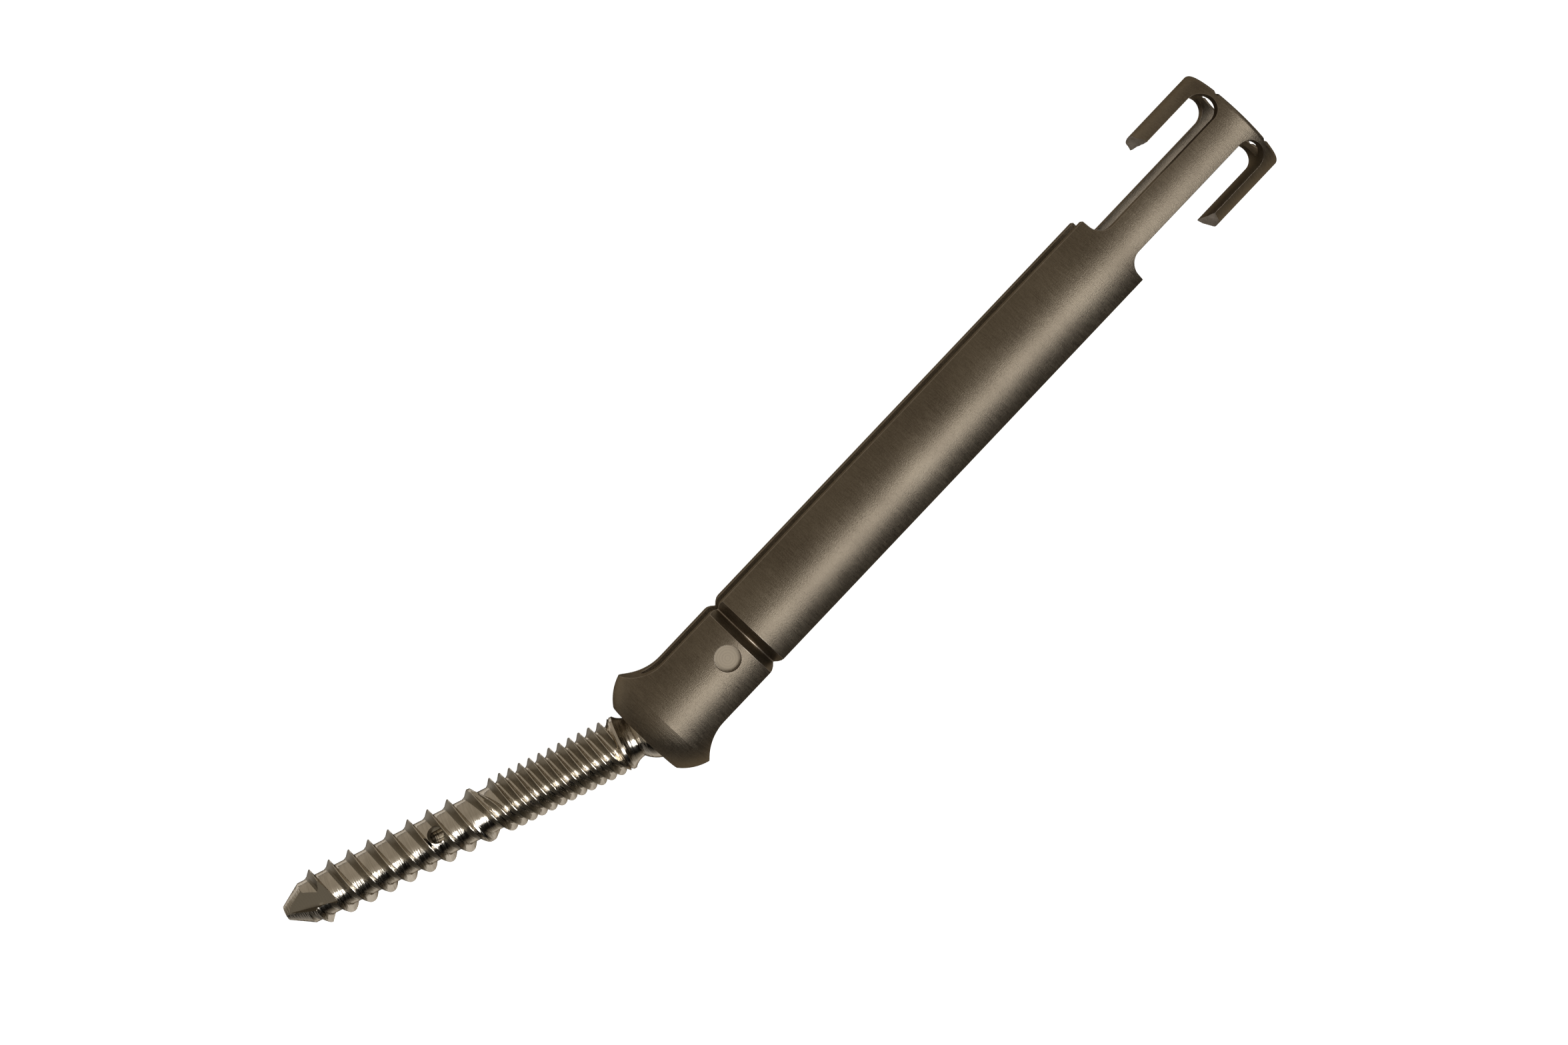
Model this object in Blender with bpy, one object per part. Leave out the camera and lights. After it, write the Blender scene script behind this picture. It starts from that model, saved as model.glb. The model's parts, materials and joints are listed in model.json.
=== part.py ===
"""Polyaxial bone screw with a long break-off tower, lying on its side.

The tower is one piece: a receiver with a rod slot, two long half shells above a
break-off groove, and an end ring held by two strips. Its side tabs were snapped
off, and their stubs hang from the ring. The screw's ball head sits in the
receiver on a split ring, under a saddle that the rod would press on.
"""

import math

import bmesh
import bpy
from mathutils import Matrix, Vector, noise

MM = 0.001

# Tower, measured up from the receiver's bottom face along the tower's axis
TOWER_LENGTH = 95.5 * MM
TOWER_RADIUS = 7.0 * MM
BOTTOM_RADIUS = 4.9 * MM
DOME_HEIGHT = 3.05 * MM
DOME_BULGE = 0.3 * MM
FLAT_HALF_WIDTH = 4.68 * MM
FLAT_RUN_OUT = 5.5 * MM
UPPER_BORE_RADIUS = 4.8 * MM
LOWER_BORE_RADIUS = 4.5 * MM
LOWER_BORE_TOP = 15.0 * MM
BORE_STEP = 0.3 * MM
RIM_ROUNDING = 0.5 * MM
BORE_CHAMFER = 0.25 * MM

# Rod slot through both sides
ROD_SLOT_WIDTH = 5.6 * MM
ROD_CENTRE = 7.7 * MM

# Break-off groove and its nicks on the side flats
GROOVE_CENTRE = 16.05 * MM
GROOVE_OPENING = 2.03 * MM
GROOVE_ROOT_RADIUS = 5.35 * MM
GROOVE_ROOT_WIDTH = 0.12 * MM
NICK_DEPTH = 0.42 * MM
NICK_HALF_WIDTH = 0.75 * MM

# Instrument dimples in the two shells
DIMPLE_CENTRE = 12.9 * MM
DIMPLE_RADIUS = 1.5 * MM
DIMPLE_DEPTH = 1.0 * MM

# Strips and windows, and the stubs that the broken side tabs left below the rim
SHOULDER = 74.95 * MM
SHOULDER_FILLET = 1.8 * MM
STRIP_HALF_WIDTH = 2.04 * MM
WINDOW_BELOW_RIM = 0.85 * MM
TAB_INNER = 5.46 * MM
TAB_STUBS = {1: 10.0 * MM, -1: 10.4 * MM}
BREAK_ROUGHNESS = 0.45 * MM
BREAK_GRAIN = 1.6 * MM
RIM_NICK_DEPTH = 0.25 * MM
RIM_NICK_HALF_WIDTH = 0.3 * MM

# Ball joint. The shank may lean to the tilt limit before its neck meets the ring
BALL_CENTRE = 1.9 * MM
BALL_RADIUS = 3.6 * MM
BALL_TOP = 1.9 * MM
TILT_LIMIT = math.radians(25.0)
TILT_MARGIN = math.radians(1.3)
RUNNING_GAP = 0.1 * MM
LIP_HEIGHT = 0.35 * MM
LIP_RADIUS = 3.75 * MM
LIP_MOUTH_RADIUS = 3.95 * MM
RING_OUTER_RADIUS = 4.65 * MM
RING_HEIGHT = 1.15 * MM
RING_MOUTH_FLARE = 0.1 * MM
RING_SPLIT = 1.2 * MM

# Saddle under the rod
SADDLE_LIFT = 0.5 * MM
SADDLE_TOP = 7.4 * MM
SADDLE_HOLE_RADIUS = 2.4 * MM
ROD_STAND_OFF = 0.5 * MM

# Screw shank, measured from its tip towards the ball
SHANK_LENGTH = 46.8 * MM
TIP_RADIUS = 0.85 * MM
TIP_HALF_ANGLE = math.radians(31.5)
CREST_RADIUS = 3.25 * MM
ROOT_RADIUS = 2.45 * MM
THREAD_LEAD = 5.0 * MM
COARSE_STARTS = 2
FIRST_CREST = 4.42 * MM
CREST_LAND = 0.1 * MM
DISTAL_FLANK = 0.84 * MM
PROXIMAL_FLANK = 0.2 * MM
WIDENING_FROM = 23.2 * MM
WIDENING_TO = 24.6 * MM
SPLIT_TO = 25.9 * MM
WIDE_CREST = 0.25 * MM
WIDE_FLANK = 0.6 * MM
FINE_SHIFT = 0.32 * MM
COLLAR_RADIUS = 3.2 * MM
COLLAR_LENGTH = 1.0 * MM
COLLAR_CHAMFER = 0.3 * MM
NECK_RADIUS = 2.42 * MM
NECK_BELOW_BALL = 2.5 * MM
NECK_FILLET = 2.11 * MM
CANNULA_RADIUS = 0.7 * MM
SIDE_HOLE_RADIUS = 1.0 * MM
SIDE_HOLE_FROM_TIP = 19.42 * MM
DRIVE_RADIUS = 1.95 * MM
DRIVE_LOBE = 0.3 * MM
DRIVE_LOBES = 6
DRIVE_DEPTH = 2.6 * MM
FLUTES = 3
FLUTE_FROM = 0.55 * MM
FLUTE_TO = 5.6 * MM
FLUTE_SKEW = math.radians(-9.0)
FLUTE_STEEP_SIDE = math.radians(15.0)
FLUTE_GENTLE_SIDE = math.radians(86.0)

# Directions round the shank, from its tilt axis
THREAD_TURN = math.radians(97.5)
SIDE_HOLE_TURN = math.radians(183.0)
FLUTE_TURN = math.radians(199.0)

# How the screw lies: its lean in plan, and the floor carries its tip
LEAN_IN_PLAN = math.radians(19.2)

# Facets
ROUND_STEPS = 64
BALL_STEPS = 40
TURN_STEPS = 30
ARC_STEP = math.radians(12.0)
SHARP_EDGE = math.radians(28.0)
MERGE_DISTANCE = 0.001 * MM
OVERCUT = 1.0 * MM


def clear_scene():
    for old in list(bpy.data.objects):
        bpy.data.objects.remove(old, do_unlink=True)


def metal(name, colour, roughness):
    material = bpy.data.materials.new(name)
    material.use_nodes = True
    shader = material.node_tree.nodes["Principled BSDF"]
    shader.inputs["Base Color"].default_value = (*colour, 1.0)
    shader.inputs["Roughness"].default_value = roughness
    shader.inputs["Metallic"].default_value = 1.0
    return material


def empty(name, parent=None, location=(0.0, 0.0, 0.0), rotation=(0.0, 0.0, 0.0)):
    holder = bpy.data.objects.new(name, None)
    bpy.context.collection.objects.link(holder)
    holder.parent = parent
    holder.location = location
    holder.rotation_euler = rotation
    return holder


def to_object(bm, name, parent=None, material=None):
    bmesh.ops.remove_doubles(bm, verts=bm.verts, dist=MERGE_DISTANCE)
    bmesh.ops.recalc_face_normals(bm, faces=bm.faces)
    mesh = bpy.data.meshes.new(name)
    bm.to_mesh(mesh)
    bm.free()
    mesh.shade_smooth()
    mesh.set_sharp_from_angle(angle=SHARP_EDGE)
    obj = bpy.data.objects.new(name, mesh)
    bpy.context.collection.objects.link(obj)
    obj.parent = parent
    if material:
        mesh.materials.append(material)
    return obj


def combine(obj, tool, operation):
    """Cut, join or intersect an object with a tool shape, which is hidden."""
    tool.parent = obj.parent
    tool.hide_render = True
    tool.display_type = "WIRE"
    modifier = obj.modifiers.new(tool.name, "BOOLEAN")
    modifier.operation = operation
    modifier.object = tool
    modifier.solver = "EXACT"


def arc(centre, radius, start, end):
    """Points along an arc, from one angle to another."""
    steps = max(2, math.ceil(abs(end - start) / ARC_STEP))
    angles = [start + (end - start) * i / steps for i in range(steps + 1)]
    return [
        (centre[0] + radius * math.cos(a), centre[1] + radius * math.sin(a)) for a in angles
    ]


def bulged(first, last, bulge):
    """Points along the shallow arc between two points, bulging to the right of travel."""
    chord = Vector(last) - Vector(first)
    radius = (chord.length / 2) ** 2 / (2 * bulge) + bulge / 2
    left = Vector((-chord.y, chord.x)).normalized()
    centre = (Vector(first) + Vector(last)) / 2 + left * (radius - bulge)
    start = math.atan2(first[1] - centre.y, first[0] - centre.x)
    end = math.atan2(last[1] - centre.y, last[0] - centre.x)
    return arc(centre, radius, start, end)


def lathe(name, outline, steps=ROUND_STEPS, parent=None, material=None):
    """Turn an outline of (radius, height) points round +Z. Off the axis, it is closed first."""
    bm = bmesh.new()
    verts = [bm.verts.new((radius, 0.0, height)) for radius, height in outline]
    edges = [bm.edges.new(pair) for pair in zip(verts, verts[1:])]
    if outline[0][0] > 0.0:
        edges.append(bm.edges.new((verts[-1], verts[0])))
    bmesh.ops.spin(
        bm, geom=verts + edges, cent=(0, 0, 0), axis=(0, 0, 1), angle=math.tau, steps=steps,
        use_merge=True,
    )
    return to_object(bm, name, parent, material)


def add_prism(bm, outline, along, start, end):
    """Extrude a closed outline of (across, height) points along X or Y."""
    if along == "X":
        verts = [bm.verts.new((start, across, height)) for across, height in outline]
        travel = Vector((end - start, 0.0, 0.0))
    else:
        verts = [bm.verts.new((across, start, height)) for across, height in outline]
        travel = Vector((0.0, end - start, 0.0))
    face = bm.faces.new(verts)
    grown = bmesh.ops.extrude_face_region(bm, geom=[face], use_keep_orig=True)["geom"]
    moved = [item for item in grown if isinstance(item, bmesh.types.BMVert)]
    bmesh.ops.translate(bm, verts=moved, vec=travel)


def prism(name, outline, along, start, end):
    bm = bmesh.new()
    add_prism(bm, outline, along, start, end)
    return to_object(bm, name)


def cylinder_tool(name, radius, low, high, placing, steps=BALL_STEPS):
    bm = bmesh.new()
    made = bmesh.ops.create_cone(
        bm, cap_ends=True, segments=steps, radius1=radius, radius2=radius, depth=high - low
    )
    bmesh.ops.translate(bm, verts=made["verts"], vec=(0.0, 0.0, (low + high) / 2))
    bmesh.ops.transform(bm, verts=bm.verts, matrix=placing)
    return to_object(bm, name)


def tower_outline():
    """Closed section of the whole tower: up its outside, then down its bore."""
    slope = (TOWER_RADIUS - GROOVE_ROOT_RADIUS) / (GROOVE_OPENING - GROOVE_ROOT_WIDTH) * 2
    root_half = GROOVE_ROOT_WIDTH / 2
    flank = (TOWER_RADIUS - GROOVE_ROOT_RADIUS) / slope
    ring_bottom = LIP_HEIGHT + RUNNING_GAP
    ring_top = ring_bottom + RING_HEIGHT
    pocket_radius = RING_OUTER_RADIUS + RUNNING_GAP
    outline = bulged((BOTTOM_RADIUS, 0.0), (TOWER_RADIUS, DOME_HEIGHT), DOME_BULGE)
    outline += [
        (TOWER_RADIUS, GROOVE_CENTRE - root_half - flank),
        (GROOVE_ROOT_RADIUS, GROOVE_CENTRE - root_half),
        (GROOVE_ROOT_RADIUS, GROOVE_CENTRE + root_half),
        (TOWER_RADIUS, GROOVE_CENTRE + root_half + flank),
    ]
    outline += arc(
        (TOWER_RADIUS - RIM_ROUNDING, TOWER_LENGTH - RIM_ROUNDING), RIM_ROUNDING, 0.0, math.pi / 2
    )
    outline += [
        (UPPER_BORE_RADIUS + BORE_CHAMFER, TOWER_LENGTH),
        (UPPER_BORE_RADIUS, TOWER_LENGTH - BORE_CHAMFER),
        (UPPER_BORE_RADIUS, LOWER_BORE_TOP + BORE_STEP),
        (LOWER_BORE_RADIUS, LOWER_BORE_TOP),
        (LOWER_BORE_RADIUS, ring_top + RUNNING_GAP),
        (pocket_radius, ring_top + RUNNING_GAP),
        (pocket_radius, LIP_HEIGHT),
        (LIP_RADIUS, LIP_HEIGHT),
        (LIP_MOUTH_RADIUS, 0.0),
    ]
    return outline


def side_outline(side):
    """What is cut from one side: the flat with its run-out, the window and the broken tab."""
    outside = TOWER_RADIUS + OVERCUT
    run_out_top = DOME_HEIGHT + math.sqrt(
        FLAT_RUN_OUT**2 - (FLAT_RUN_OUT + FLAT_HALF_WIDTH - TOWER_RADIUS) ** 2
    )
    run_out_centre = (FLAT_HALF_WIDTH + FLAT_RUN_OUT, run_out_top)
    start = -math.acos((outside - run_out_centre[0]) / FLAT_RUN_OUT)
    fillet_centre = (STRIP_HALF_WIDTH + SHOULDER_FILLET, SHOULDER + SHOULDER_FILLET)
    window_radius = (TAB_INNER - STRIP_HALF_WIDTH) / 2
    window_top = TOWER_LENGTH - WINDOW_BELOW_RIM
    window_centre = (STRIP_HALF_WIDTH + window_radius, window_top - window_radius)
    outline = arc(run_out_centre, FLAT_RUN_OUT, start, -math.pi)
    outline.append((FLAT_HALF_WIDTH, SHOULDER))
    outline += arc(fillet_centre, SHOULDER_FILLET, -math.pi / 2, -math.pi)
    outline += arc(window_centre, window_radius, math.pi, 0.0)
    clear_of_break = TOWER_LENGTH - TAB_STUBS[side] - BREAK_ROUGHNESS
    outline += [(TAB_INNER, clear_of_break), (outside, clear_of_break)]
    return [(side * across, height) for across, height in outline]


def tab_break_tool(name, side):
    """Block whose upper face is rough, as the tab tore when it was snapped off."""
    bm = bmesh.new()
    outside = TOWER_RADIUS + OVERCUT
    inner = TAB_INNER - OVERCUT / 2
    break_height = TOWER_LENGTH - TAB_STUBS[side]
    made = bmesh.ops.create_grid(bm, x_segments=10, y_segments=4, size=1.0)["verts"]
    bmesh.ops.scale(bm, verts=made, vec=(TOWER_RADIUS, (outside - inner) / 2, 1.0))
    middle = Vector((0.0, side * (outside + inner) / 2, break_height))
    bmesh.ops.translate(bm, verts=made, vec=middle)
    sheet = list(bm.faces)
    for vert in made:
        vert.co.z += BREAK_ROUGHNESS * noise.noise(vert.co / BREAK_GRAIN)
    grown = bmesh.ops.extrude_face_region(bm, geom=sheet, use_keep_orig=True)["geom"]
    lower = [item for item in grown if isinstance(item, bmesh.types.BMVert)]
    for vert in lower:
        vert.co.z = break_height - BREAK_ROUGHNESS - OVERCUT
    return to_object(bm, name)


def rod_slot_tool():
    radius = ROD_SLOT_WIDTH / 2
    top = SHOULDER + ROD_SLOT_WIDTH
    outline = [(radius, top)] + arc((0.0, ROD_CENTRE), radius, 0.0, -math.pi) + [(-radius, top)]
    reach = TOWER_RADIUS + OVERCUT
    return prism("rod_slot_tool", outline, "Y", -reach, reach)


def flat_nick_tool():
    """The break-off groove's nick in each side flat, with eased shoulders."""
    bm = bmesh.new()
    for side in (1, -1):
        outline = [
            (FLAT_HALF_WIDTH + OVERCUT, GROOVE_CENTRE - NICK_HALF_WIDTH - OVERCUT),
            (FLAT_HALF_WIDTH, GROOVE_CENTRE - NICK_HALF_WIDTH),
            (FLAT_HALF_WIDTH - NICK_DEPTH / 3, GROOVE_CENTRE - NICK_HALF_WIDTH / 2),
            (FLAT_HALF_WIDTH - NICK_DEPTH, GROOVE_CENTRE),
            (FLAT_HALF_WIDTH - NICK_DEPTH / 3, GROOVE_CENTRE + NICK_HALF_WIDTH / 2),
            (FLAT_HALF_WIDTH, GROOVE_CENTRE + NICK_HALF_WIDTH),
            (FLAT_HALF_WIDTH + OVERCUT, GROOVE_CENTRE + NICK_HALF_WIDTH + OVERCUT),
        ]
        outline = [(side * across, height) for across, height in outline]
        add_prism(bm, outline, "X", -TOWER_RADIUS, TOWER_RADIUS)
    return to_object(bm, "flat_nick_tool")


def dimple_tool():
    floor = TOWER_RADIUS - DIMPLE_DEPTH
    bm = bmesh.new()
    for side in (1, -1):
        made = bmesh.ops.create_cone(
            bm, cap_ends=True, segments=BALL_STEPS, radius1=DIMPLE_RADIUS, radius2=DIMPLE_RADIUS,
            depth=DIMPLE_DEPTH + OVERCUT,
        )["verts"]
        bmesh.ops.rotate(bm, verts=made, matrix=Matrix.Rotation(math.pi / 2, 3, "Y"))
        out = side * (floor + (DIMPLE_DEPTH + OVERCUT) / 2)
        bmesh.ops.translate(bm, verts=made, vec=(out, 0.0, DIMPLE_CENTRE))
    return to_object(bm, "dimple_tool")


def rim_nick_tool():
    """Four small V nicks across the rim, over the middles of the windows."""
    window_middle = (STRIP_HALF_WIDTH + TAB_INNER) / 2
    bm = bmesh.new()
    for side in (1, -1):
        middle = side * window_middle
        outline = [
            (middle - 2 * RIM_NICK_HALF_WIDTH, TOWER_LENGTH + RIM_NICK_DEPTH),
            (middle, TOWER_LENGTH - RIM_NICK_DEPTH),
            (middle + 2 * RIM_NICK_HALF_WIDTH, TOWER_LENGTH + RIM_NICK_DEPTH),
        ]
        reach = TOWER_RADIUS + OVERCUT
        add_prism(bm, outline, "X", -reach, reach)
    return to_object(bm, "rim_nick_tool")


def make_tower(parent, material):
    tower = lathe("tulip_tower", tower_outline(), parent=parent, material=material)
    reach = TOWER_RADIUS + OVERCUT
    combine(tower, rod_slot_tool(), "DIFFERENCE")
    for side, word in ((1, "left"), (-1, "right")):
        side_tool = prism(f"{word}_side_tool", side_outline(side), "X", -reach, reach)
        combine(tower, side_tool, "DIFFERENCE")
        combine(tower, tab_break_tool(f"{word}_tab_break_tool", side), "DIFFERENCE")
    combine(tower, flat_nick_tool(), "DIFFERENCE")
    combine(tower, dimple_tool(), "DIFFERENCE")
    combine(tower, rim_nick_tool(), "DIFFERENCE")
    return tower


def make_saddle(parent, material):
    """Pressure saddle: a cup on the ball below, a cradle for the rod above."""
    seat_radius = BALL_RADIUS + RUNNING_GAP
    hole_start = math.acos(SADDLE_HOLE_RADIUS / seat_radius)
    seat_end = math.asin(SADDLE_LIFT / seat_radius)
    outside = LOWER_BORE_RADIUS - RUNNING_GAP
    outline = arc((0.0, BALL_CENTRE), seat_radius, hole_start, seat_end)
    outline += [(outside, BALL_CENTRE + SADDLE_LIFT), (outside, SADDLE_TOP)]
    outline += [(SADDLE_HOLE_RADIUS, SADDLE_TOP)]
    saddle = lathe("pressure_saddle", outline, BALL_STEPS, parent, material)
    cradle_radius = ROD_SLOT_WIDTH / 2
    cradle_centre = ROD_CENTRE + ROD_STAND_OFF
    cradle = [(cradle_radius, cradle_centre + OVERCUT)]
    cradle += arc((0.0, cradle_centre), cradle_radius, 0.0, -math.pi)
    cradle += [(-cradle_radius, cradle_centre + OVERCUT)]
    reach = LOWER_BORE_RADIUS + OVERCUT
    combine(saddle, prism("rod_cradle_tool", cradle, "Y", -reach, reach), "DIFFERENCE")
    return saddle


def make_ring(parent, material):
    """Split ring that snaps into the receiver's groove and carries the ball."""
    seat_radius = BALL_RADIUS + RUNNING_GAP
    bottom = LIP_HEIGHT + RUNNING_GAP - BALL_CENTRE
    top = bottom + RING_HEIGHT
    throat = neck_angle(seat_radius) + TILT_LIMIT + TILT_MARGIN - math.pi / 2
    outline = arc((0.0, 0.0), seat_radius, math.asin(top / seat_radius), throat)
    mouth_radius = seat_radius * math.cos(throat) + RING_MOUTH_FLARE
    outline += [
        (mouth_radius, bottom),
        (RING_OUTER_RADIUS, bottom),
        (RING_OUTER_RADIUS, top),
    ]
    ring = lathe("retaining_ring", outline, ROUND_STEPS, parent, material)
    half = RING_SPLIT / 2
    gap = [(-half, -BALL_RADIUS), (half, -BALL_RADIUS), (half, BALL_RADIUS), (-half, BALL_RADIUS)]
    reach = RING_OUTER_RADIUS + OVERCUT
    combine(ring, prism("ring_split_tool", gap, "Y", 0.0, reach), "DIFFERENCE")
    return ring


def thread_points():
    """One coarse pitch of the thread in three states, as (from the main crest, radius).

    Coarse has one crest. Wide has that crest broadened towards the head. Fine has two
    crests, the second half a coarse pitch on. All three have the same number of points.
    """
    half_land = CREST_LAND / 2
    depth = CREST_RADIUS - ROOT_RADIUS
    fine_pitch = THREAD_LEAD / COARSE_STARTS / 2
    main = [
        (-half_land - DISTAL_FLANK, ROOT_RADIUS),
        (-half_land, CREST_RADIUS),
        (half_land, CREST_RADIUS),
    ]
    foot = half_land + PROXIMAL_FLANK
    second = fine_pitch - half_land
    coarse = main + [
        (foot, ROOT_RADIUS),
        (second - DISTAL_FLANK, ROOT_RADIUS),
        (second, ROOT_RADIUS),
        (second + CREST_LAND, ROOT_RADIUS),
        (second + CREST_LAND + PROXIMAL_FLANK, ROOT_RADIUS),
    ]
    wide_edge = half_land + WIDE_CREST
    wide = main + [
        (half_land + WIDE_CREST / 2, CREST_RADIUS),
        (wide_edge, CREST_RADIUS),
        (wide_edge + WIDE_FLANK / 3, CREST_RADIUS - depth / 3),
        (wide_edge + WIDE_FLANK * 2 / 3, ROOT_RADIUS + depth / 3),
        (wide_edge + WIDE_FLANK, ROOT_RADIUS),
    ]
    fine = main + [
        (foot, ROOT_RADIUS),
        (second - DISTAL_FLANK, ROOT_RADIUS),
        (second, CREST_RADIUS),
        (second + CREST_LAND, CREST_RADIUS),
        (second + CREST_LAND + PROXIMAL_FLANK, ROOT_RADIUS),
    ]
    fine = [(offset + FINE_SHIFT, radius) for offset, radius in fine]
    return coarse, wide, fine


def share(value, start, end):
    """How far a value has come between two others, eased at both ends."""
    part = min(1.0, max(0.0, (value - start) / (end - start)))
    return part * part * (3.0 - 2.0 * part)


def make_threaded_rod(name, low, high, parent, material):
    """Rod with the whole thread, cut square at both ends.

    The profile is swept round and up by one lead, so its two edges meet. Heights are
    from the tip.
    """
    pitch = THREAD_LEAD / COARSE_STARTS
    coarse, wide, fine = thread_points()
    bm = bmesh.new()
    point_layer = bm.verts.layers.int.new("point")
    first = math.floor((low - THREAD_LEAD - FIRST_CREST) / pitch) - 1
    last = math.ceil((high - FIRST_CREST) / pitch) + 1
    verts = []
    for turn in range(first, last + 1):
        for index, (offset, radius) in enumerate(coarse):
            vert = bm.verts.new((radius, 0.0, FIRST_CREST + turn * pitch + offset))
            vert[point_layer] = index
            verts.append(vert)
    edges = [bm.edges.new(pair) for pair in zip(verts, verts[1:])]
    bmesh.ops.spin(
        bm, geom=verts + edges, cent=(0, 0, 0), axis=(0, 0, 1), angle=math.tau,
        dvec=(0.0, 0.0, THREAD_LEAD / TURN_STEPS), steps=TURN_STEPS,
    )
    bmesh.ops.remove_doubles(bm, verts=bm.verts, dist=MERGE_DISTANCE)
    for vert in bm.verts:
        index = vert[point_layer]
        crest_height = vert.co.z - coarse[index][0]
        widened = share(crest_height, WIDENING_FROM, WIDENING_TO)
        split = share(crest_height, WIDENING_TO, SPLIT_TO)
        offset = coarse[index][0] + widened * (wide[index][0] - coarse[index][0])
        offset += split * (fine[index][0] - wide[index][0])
        radius = coarse[index][1] + widened * (wide[index][1] - coarse[index][1])
        radius += split * (fine[index][1] - wide[index][1])
        angle = math.atan2(vert.co.y, vert.co.x)
        vert.co.x = radius * math.cos(angle)
        vert.co.y = radius * math.sin(angle)
        vert.co.z += offset - coarse[index][0]
    for height, outward in ((low, -1.0), (high, 1.0)):
        everything = list(bm.verts) + list(bm.edges) + list(bm.faces)
        cut = bmesh.ops.bisect_plane(
            bm, geom=everything, dist=MERGE_DISTANCE / 10, plane_co=(0.0, 0.0, height),
            plane_no=(0.0, 0.0, outward), clear_outer=True,
        )["geom_cut"]
        loop = [item for item in cut if isinstance(item, bmesh.types.BMEdge)]
        bmesh.ops.edgeloop_fill(bm, edges=loop)
    bmesh.ops.dissolve_limit(
        bm, angle_limit=math.radians(0.3), verts=list(bm.verts), edges=list(bm.edges)
    )
    bmesh.ops.rotate(bm, verts=bm.verts, matrix=Matrix.Rotation(THREAD_TURN, 3, "Z"))
    bmesh.ops.translate(bm, verts=bm.verts, vec=(0.0, 0.0, -SHANK_LENGTH))
    return to_object(bm, name, parent, material)


def tip_envelope():
    """Everything inside the tip's cone, and all of the rod above it."""
    outside = CREST_RADIUS + OVERCUT
    cone_top = (outside - TIP_RADIUS) / math.tan(TIP_HALF_ANGLE)
    outline = [(0.0, 0.0), (TIP_RADIUS, 0.0), (outside, cone_top)]
    outline += [(outside, SHANK_LENGTH), (0.0, SHANK_LENGTH)]
    outline = [(radius, height - SHANK_LENGTH) for radius, height in outline]
    return lathe("tip_envelope", outline, BALL_STEPS)


def neck_centre():
    """Centre of the neck's fillet, as (radius, height from the ball's centre)."""
    return NECK_RADIUS + NECK_FILLET, -NECK_BELOW_BALL


def neck_angle(distance):
    """Angle between the shank's axis and the neck's surface, at a distance from the ball's centre."""
    across, height = neck_centre()
    reach = math.hypot(across, height)
    spread = (distance**2 + reach**2 - NECK_FILLET**2) / (2 * distance * reach)
    return math.atan2(across, -height) - math.acos(spread)


def collar_top():
    across, height = neck_centre()
    return height - math.sqrt(NECK_FILLET**2 - (across - COLLAR_RADIUS) ** 2)


def head_shape():
    """Collar, neck and ball, with heights from the ball's centre."""
    across, height = neck_centre()
    top = collar_top()
    bottom = top - COLLAR_LENGTH
    ball_start = neck_angle(BALL_RADIUS) - math.pi / 2
    joint_radius = BALL_RADIUS * math.cos(ball_start)
    joint_height = BALL_RADIUS * math.sin(ball_start)
    to_collar = math.atan2(top - height, COLLAR_RADIUS - across) % math.tau
    to_ball = math.atan2(joint_height - height, joint_radius - across) % math.tau
    outline = [
        (0.0, bottom - COLLAR_CHAMFER - OVERCUT),
        (ROOT_RADIUS * 0.9, bottom - COLLAR_CHAMFER - OVERCUT),
        (ROOT_RADIUS * 0.9, bottom - COLLAR_CHAMFER),
        (COLLAR_RADIUS, bottom),
    ]
    outline += arc((across, height), NECK_FILLET, to_collar, to_ball)
    outline += arc((0.0, 0.0), BALL_RADIUS, ball_start, math.asin(BALL_TOP / BALL_RADIUS))[1:]
    outline.append((0.0, BALL_TOP))
    return lathe("head_shape", outline, BALL_STEPS)


def drive_tool():
    """Six-lobed driver socket in the top of the ball."""
    bm = bmesh.new()
    steps = DRIVE_LOBES * 8
    made = bmesh.ops.create_circle(bm, cap_ends=True, segments=steps, radius=1.0)["verts"]
    for vert in made:
        angle = math.atan2(vert.co.y, vert.co.x)
        radius = DRIVE_RADIUS + DRIVE_LOBE * math.cos(DRIVE_LOBES * angle)
        vert.co = Vector((radius * math.cos(angle), radius * math.sin(angle), BALL_TOP - DRIVE_DEPTH))
    grown = bmesh.ops.extrude_face_region(bm, geom=list(bm.faces), use_keep_orig=True)["geom"]
    moved = [item for item in grown if isinstance(item, bmesh.types.BMVert)]
    bmesh.ops.translate(bm, verts=moved, vec=(0.0, 0.0, DRIVE_DEPTH + OVERCUT))
    return to_object(bm, "drive_tool")


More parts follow.
